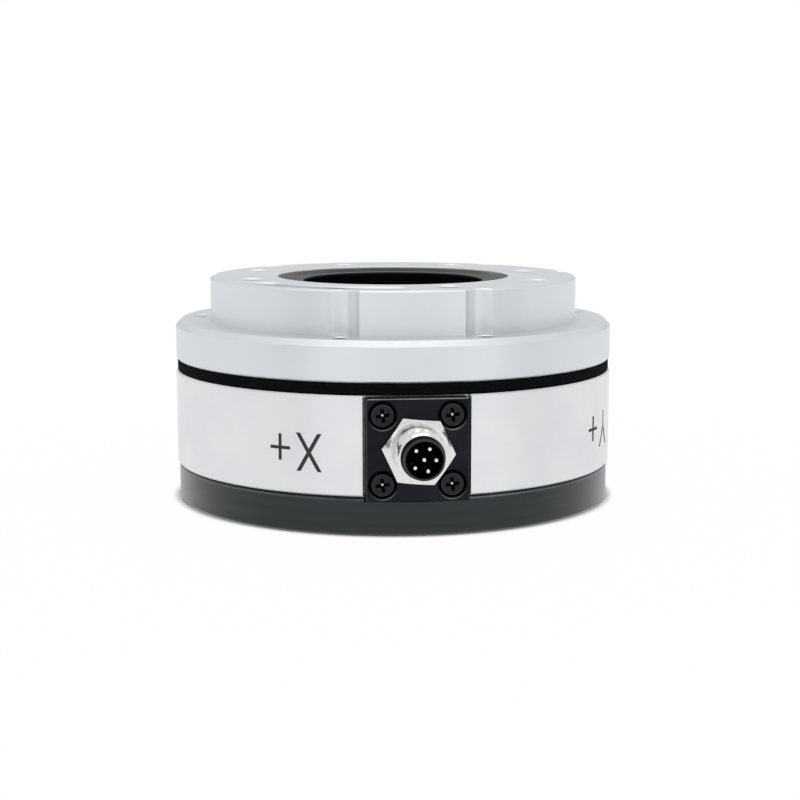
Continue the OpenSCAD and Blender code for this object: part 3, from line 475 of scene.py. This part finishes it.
def makeThreadedShell():
    v = threadSizes
    low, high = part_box("connector_shell")
    axisZ = (low.z + high.z) / 2
    frontY = low.y
    cutY = frontY + (v["hexBack"] - v["neck"]) * mm
    length = (cutY - frontY) / mm

    # a copy of the solid, with its plain barrel cut off and closed
    mesh = bmesh.new()
    mesh.from_mesh(nodes["connector_shell"].data)
    bmesh.ops.remove_doubles(mesh, verts=mesh.verts, dist=2 * weld)
    bmesh.ops.bisect_plane(mesh, geom=mesh.verts[:] + mesh.edges[:] + mesh.faces[:],
                           plane_co=(0, cutY, axisZ), plane_no=(0, -1, 0), clear_outer=True)
    bmesh.ops.bridge_loops(mesh, edges=[e for e in mesh.edges if e.is_boundary])

    # one closed section of the barrel: bore, back, outside in fine rows, front
    steps = int(length * v["rows"] / v["pitch"])
    outside = [(v["crest"], -i * length / steps) for i in range(steps + 1)]
    section = [(v["bore"], 0)] + outside + [(v["bore"], -length)]
    spinSection(mesh, [(r * mm, cutY + y * mm, axisZ) for r, y in section], (0, cutY, axisZ), (0, 1, 0),
                v["segments"])
    bmesh.ops.remove_doubles(mesh, verts=mesh.verts, dist=weld)

    # the thread: a 60 degree groove that winds round, fading in at the neck and at the lead
    for vertex in mesh.verts:
        x, y, z = vertex.co.x / mm, vertex.co.y / mm, (vertex.co.z - axisZ) / mm
        radius = math.hypot(x, z)
        along = y - frontY / mm                   # from the barrel's front backwards
        if radius < v["crest"] - slack or along < -slack or y > cutY / mm + slack:
            continue                              # the bore, or the hexagon and what lies behind it
        turn = math.atan2(z, x) / (2 * math.pi)
        wave = abs(((along / v["pitch"] + turn) % 1) * 2 - 1)
        groove = v["depth"] * min(1, max(0, (wave - v["flat"]) / v["flank"]))
        leadTop = v["crest"] - max(0, v["lead"] - along)
        neckTop = v["crest"] - max(0, v["depth"] - max(0, length - along - v["neckRun"]))
        cut = min(v["crest"] - groove, leadTop, neckTop)
        vertex.co.x *= cut / radius
        vertex.co.z = axisZ + (vertex.co.z - axisZ) * cut / radius
    shell = finishPiece(mesh, "threadedShell", makeNickel(), v["smooth"])
    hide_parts("connector_shell")


makeThreadedShell()
print("stage 3: threaded shell")


# the foam band follows its solid, with soft corners and an open-celled, slightly uneven side
foamSizes = {"width": 1.5, "corner": 0.3, "cell": 0.45, "pit": 0.09, "cellShare": 0.3, "wave": 0.03,
             "waveLength": 6, "segments": 900, "rows": 8, "smooth": 60}


def makeFoamBand():
    v = foamSizes
    low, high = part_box("seal_band")
    outer = high.x / mm
    inner = outer - v["width"]
    bottom, top = low.z / mm, high.z / mm
    corner = v["corner"]
    cornerSteps = (math.pi / 6, math.pi / 3, math.pi / 2)

    # from the inner top round the upper corner, the side and the lower corner to the inner bottom
    section = [(inner, top), (outer - corner, top)]
    section += [(outer - corner + corner * math.sin(a), top - corner + corner * math.cos(a))
                for a in cornerSteps]
    straight = top - bottom - 2 * corner
    section += [(outer, top - corner - straight * (i + 1) / v["rows"]) for i in range(v["rows"])]
    section += [(outer - corner + corner * math.cos(a), bottom + corner - corner * math.sin(a))
                for a in cornerSteps]
    section.append((inner, bottom))
    mesh = bmesh.new()
    spinSection(mesh, [(0, -r * mm, z * mm) for r, z in section], (0, 0, 0), (0, 0, 1), v["segments"])

    # pits and a slow wave, on the side and the corners alone
    for vertex in mesh.verts:
        radius = math.hypot(vertex.co.x, vertex.co.y)
        if radius / mm < outer - corner - slack:
            continue
        cells = noise.cell_vector(vertex.co / (v["cell"] * mm)).x
        lumps = noise.noise(vertex.co / (v["cell"] * mm))
        slow = noise.noise(vertex.co / (v["waveLength"] * mm))
        drop = v["pit"] * max(0, lumps) + v["cellShare"] * v["pit"] * cells + v["wave"] * (1 + slow)
        vertex.co.x *= 1 - drop * mm / radius
        vertex.co.y *= 1 - drop * mm / radius
    band = finishPiece(mesh, "foamBand", foamSkin, v["smooth"])
    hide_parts("seal_band")


makeFoamBand()
print("stage 4: foam band")


# the sleeve's collar rises in a sloped lip, which lines the wall of the mouth: top and foot are its
# widths, below is from the flange's face to its top
lipSizes = {"top": 0.12, "foot": 1.2, "below": 0.25, "sink": 0.02, "segments": 128, "smooth": 30}


def makeSleeveLip():
    v = lipSizes
    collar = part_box("bore_sleeve")[1]
    outer, collarTop = collar.x / mm, collar.z / mm
    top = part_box("load_flange")[1].z / mm - v["below"]
    bottom = collarTop - v["sink"]
    section = [(outer, bottom), (outer, top), (outer - v["top"], top), (outer - v["foot"], bottom)]
    mesh = bmesh.new()
    spinSection(mesh, [(0, -r * mm, z * mm) for r, z in section], (0, 0, 0), (0, 0, 1), v["segments"])
    finishPiece(mesh, "sleeveLip", plasticSkin, v["smooth"])


makeSleeveLip()
print("stage 5: sleeve lip")


# axis marks on the housing, upside down as on the real one: stroke ends are (bearing side, height)
# in mm, and a place is a bearing in degrees, a height, a letter and its stroke's width
markSizes = {"lift": 0.012, "liftStep": 0.001, "sink": 0.01, "radius": 37.5, "columns": 24, "rows": 4,
             "plus": [((-1.8, -0.1), (1.8, -0.1)), ((0, -2.1), (0, 2.1))],
             "x": [((-1.76, -2.98), (1.8, 3.05)), ((-1.83, 3.1), (1.8, -2.98))],
             "y": [((0, 3), (0, 0.3)), ((0, 0.3), (-2.1, -2.95)), ((0, 0.3), (2.1, -2.95))],
             "places": [(-34.1, 13.5, "plus", 0.52), (-26.4, 12.87, "x", 0.62),
                        (56.25, 13.72, "plus", 0.5), (64.6, 13.12, "y", 0.46)]}


def makeAxisMarks():
    # each stroke is a flat strip with level or upright ends, laid round the housing
    v = markSizes
    mesh = bmesh.new()
    for bearing, height, letter, width in v["places"]:
        for k, (start, end) in enumerate(v[letter]):
            start, end = Vector(start), Vector(end)
            run = end - start
            across = Vector((1, 0)) if abs(run.y) > abs(run.x) else Vector((0, 1))
            across *= width * run.length / max(abs(run.x), abs(run.y))
            strip = bmesh.ops.create_grid(mesh, x_segments=v["columns"], y_segments=v["rows"], size=0.5)
            r = v["radius"] + v["lift"] + v["liftStep"] * k    # crossing strokes don't share a plane
            for vertex in strip["verts"]:
                flat = (start + end) / 2 + vertex.co.x * run + vertex.co.y * across
                around = math.radians(bearing) + flat.x / v["radius"]
                vertex.co = Vector((r * math.sin(around), -r * math.cos(around), height + flat.y)) * mm
    bmesh.ops.solidify(mesh, geom=mesh.faces[:], thickness=v["sink"] * mm)
    finishPiece(mesh, "axisMarks", makePlainFinish("laserMarkedOxide"))


makeAxisMarks()
print("stage 6: axis marks")


cameraSizes = {"place": (-31.5, -307.32, 62.1), "pitchDown": 8.5, "yawRight": 6.078, "lens": 80.24,
               "sensor": 36, "clipStart": 10}


def makeCamera():
    v = cameraSizes
    data = bpy.data.cameras.new("camera")
    data.lens = v["lens"]
    data.sensor_width = v["sensor"]
    data.clip_start = v["clipStart"] * mm
    camera = bpy.data.objects.new("camera", data)
    camera.location = Vector(v["place"]) * mm
    camera.rotation_euler = (math.radians(90 - v["pitchDown"]), 0, math.radians(-v["yawRight"]))
    scene.collection.objects.link(camera)
    scene.camera = camera


makeCamera()


def addStage(name, mesh, place, material):
    # a piece of the studio, not of the product
    data = bpy.data.meshes.new(name)
    mesh.to_mesh(data)
    mesh.free()
    data.materials.append(material)
    thing = bpy.data.objects.new(name, data)
    thing.location = Vector(place) * mm
    scene.collection.objects.link(thing)
    return thing


aimedAt = (0, 0, 20)    # about the middle of the product, in mm


def aim(thing):
    thing.rotation_euler = (Vector(aimedAt) * mm - thing.location).to_track_quat("-Z", "Y").to_euler()


# the floor shines white at the eye, less so near the product, and not at all beneath it, and mirrors
# always see it white
floorSizes = {"radius": 30000, "drop": 0.02, "segments": 64, "under": 37, "near": 38.8, "far": 240,
              "nearShare": 0.98, "colour": "#F4F4F4", "rough": 0.9}


def makeFloor():
    v = floorSizes
    material, tree, where = startMaterial("paperWhite")
    shader = tree.nodes["Principled BSDF"]
    setInputs(tree, shader, {"Base Color": toLinear(v["colour"]), "Roughness": v["rough"]})
    away = addNode(tree, "VectorMath", {0: where}, operation="LENGTH")
    beside = addNode(tree, "MapRange", {"Value": away, "From Min": v["under"] * mm,
                                        "From Max": v["near"] * mm}, interpolation_type="SMOOTHSTEP")
    beyond = addNode(tree, "MapRange", {"Value": away, "From Min": v["near"] * mm, "From Max": v["far"] * mm,
                                        "To Min": v["nearShare"]}, interpolation_type="SMOOTHSTEP")
    share = addNode(tree, "Math", {0: beside, 1: beyond}, operation="MULTIPLY")
    rays = addNode(tree, "LightPath", {})
    for operation, ray in (("MULTIPLY", "Is Camera Ray"), ("MAXIMUM", "Is Glossy Ray"),
                           ("MAXIMUM", "Is Transmission Ray")):
        share = addNode(tree, "Math", {0: share, 1: rays.outputs[ray]}, operation=operation)
    glow = addNode(tree, "Emission", {"Color": (1, 1, 1, 1), "Strength": 1.0})
    mix = addNode(tree, "MixShader", {"Fac": share, 1: shader, 2: glow})
    setInputs(tree, tree.nodes["Material Output"], {"Surface": mix})

    mesh = bmesh.new()
    bmesh.ops.create_circle(mesh, cap_ends=True, segments=v["segments"], radius=v["radius"] * mm)
    addStage("floor", mesh, (0, 0, cadBox[0].z / mm - v["drop"]), material)


makeFloor()


lampSizes = {
    "softboxAbove": {"place": (0, -60, 620), "size": (560, 420), "power": 0.46},
    "stripLeft": {"place": (-440, -560, 130), "size": (150, 420), "power": 0.2},
    "stripRight": {"place": (500, -520, 130), "size": (150, 420), "power": 0.2},
}


def makeLamps():
    for name, v in lampSizes.items():
        data = bpy.data.lights.new(name, "AREA")
        data.shape = "RECTANGLE"
        data.size, data.size_y = v["size"][0] * mm, v["size"][1] * mm
        data.energy = v["power"]
        lamp = bpy.data.objects.new(name, data)
        lamp.location = Vector(v["place"]) * mm
        aim(lamp)
        scene.collection.objects.link(lamp)


makeLamps()


# black felt beside each strip and behind: metal mirrors it as soft dark bands, and nothing else sees it
flagSizes = {
    "flagLeft": {"place": (-570, -410, 110), "size": (200, 420)},
    "flagRight": {"place": (630, -330, 110), "size": (200, 420)},
    "flagBack": {"place": (60, 700, 150), "size": (1000, 56)},
}
blackFelt = {"colour": "#161616", "rough": 1.0}


def makeFlags():
    material, tree, where = startMaterial("blackFelt")
    setInputs(tree, tree.nodes["Principled BSDF"], {"Base Color": toLinear(blackFelt["colour"]),
                                                    "Roughness": blackFelt["rough"]})
    for name, v in flagSizes.items():
        mesh = bmesh.new()
        size = Matrix.Diagonal((v["size"][0] * mm, v["size"][1] * mm, 1, 1))
        bmesh.ops.create_grid(mesh, x_segments=1, y_segments=1, size=0.5, matrix=size)
        flag = addStage(name, mesh, v["place"], material)
        aim(flag)
        flag.visible_camera = False
        flag.visible_diffuse = False
        flag.visible_shadow = False


makeFlags()


worldStrength = {"soft": 0.75, "mirrored": 0.9, "white": 1.0}


def makeWorld():
    # soft light all round, a little dimmer in mirrors, pure white where the camera looks at it
    v = worldStrength
    world = bpy.data.worlds.new("softStudio")
    scene.world = world
    world.use_nodes = True
    tree = world.node_tree
    tree.nodes.clear()
    rays = addNode(tree, "LightPath", {})
    shade = addNode(tree, "Background", {"Color": (1, 1, 1, 1), "Strength": v["soft"]})
    for ray, strength in (("Is Glossy Ray", v["mirrored"]), ("Is Transmission Ray", v["white"]),
                          ("Is Camera Ray", v["white"])):
        other = addNode(tree, "Background", {"Color": (1, 1, 1, 1), "Strength": strength})
        shade = addNode(tree, "MixShader", {"Fac": rays.outputs[ray], 1: shade, 2: other})
    addNode(tree, "OutputWorld", {"Surface": shade})


makeWorld()
scene.view_settings.view_transform = "Standard"
print("stage 7: camera, floor, lamps, flags and world")
